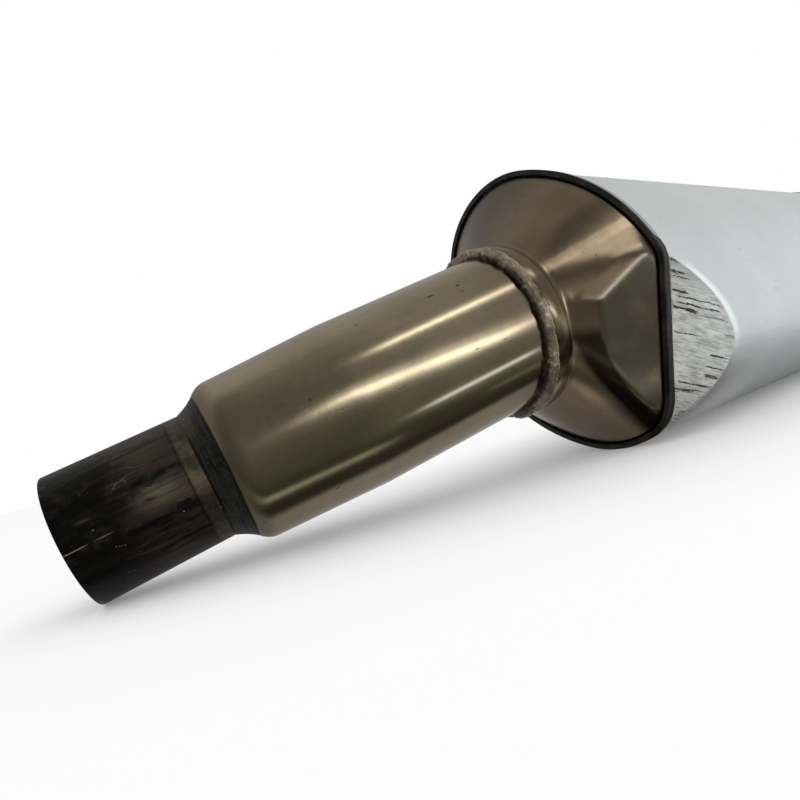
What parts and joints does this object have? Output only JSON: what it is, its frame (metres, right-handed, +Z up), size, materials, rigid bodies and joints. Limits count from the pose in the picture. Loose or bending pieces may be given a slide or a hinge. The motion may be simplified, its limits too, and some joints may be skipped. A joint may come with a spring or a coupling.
{
  "type": "motorcycle muffler",
  "caption": "Used slip-on motorcycle muffler: sooted inlet pipe, heat browned catalyst barrel, cone cap and an oval aluminium can with a flattened front corner",
  "frame": {"origin": "centre of the inlet mouth, in the plane of its cut edge", "axes": "+X toward the outlet along the can, +Z up as the muffler lies at rest, +Y completes the right hand set; the can lies toward -Y"},
  "size_m": [0.6691, 0.1701, 0.1827],
  "materials": {
    "pipe_sooted_steel": "exhaust soot burnt black over drawn stainless tube, brown and olive streaks along it",
    "weld_dark_steel": "dark teal black weld with fine grooves round the pipe",
    "barrel_bronze_steel": "stainless steel browned by heat, rubbed along the barrel",
    "bead_steel": "bright lumpy weld bead with dark edges",
    "cap_bronze_steel": "satin pressed stainless steel, browned by heat",
    "band_black": "rough black heat proof paint",
    "sleeve_aluminium": "satin aluminium with fine scratches, rubbed through at the front corner",
    "tail_steel": "plain drawn stainless steel",
    "inner_steel": "plain sheet steel, sooted",
    "honeycomb_foil": "wound steel foil with a grey wash coat",
    "glass_wool": "pale yellow glass wool",
    "hanger_aluminium": "satin aluminium plate",
    "grommet_rubber": "black rubber",
    "bush_steel": "zinc plated steel"
  },
  "bodies": {
    "root": {"inlet_pipe": "pipe_sooted_steel", "inlet_weld": "weld_dark_steel", "barrel_shell": "barrel_bronze_steel", "catalyst_jacket": "inner_steel", "catalyst_brick": "honeycomb_foil", "catalyst_front_ring": "inner_steel", "catalyst_rear_ring": "inner_steel", "barrel_weld": "bead_steel", "front_cap": "cap_bronze_steel", "front_band": "band_black", "sleeve": "sleeve_aluminium", "inner_shell": "inner_steel", "wool_packing": "glass_wool", "front_baffle": "inner_steel", "rear_baffle": "inner_steel", "transfer_tube_upper": "inner_steel", "transfer_tube_lower": "inner_steel", "tail_pipe": "tail_steel", "tail_weld": "bead_steel", "rear_cap": "cap_bronze_steel", "rear_band": "band_black", "hanger_bracket": "hanger_aluminium", "hanger_weld": "hanger_aluminium", "hanger_grommet": "grommet_rubber", "hanger_bush": "bush_steel"}
  },
  "joints": []
}
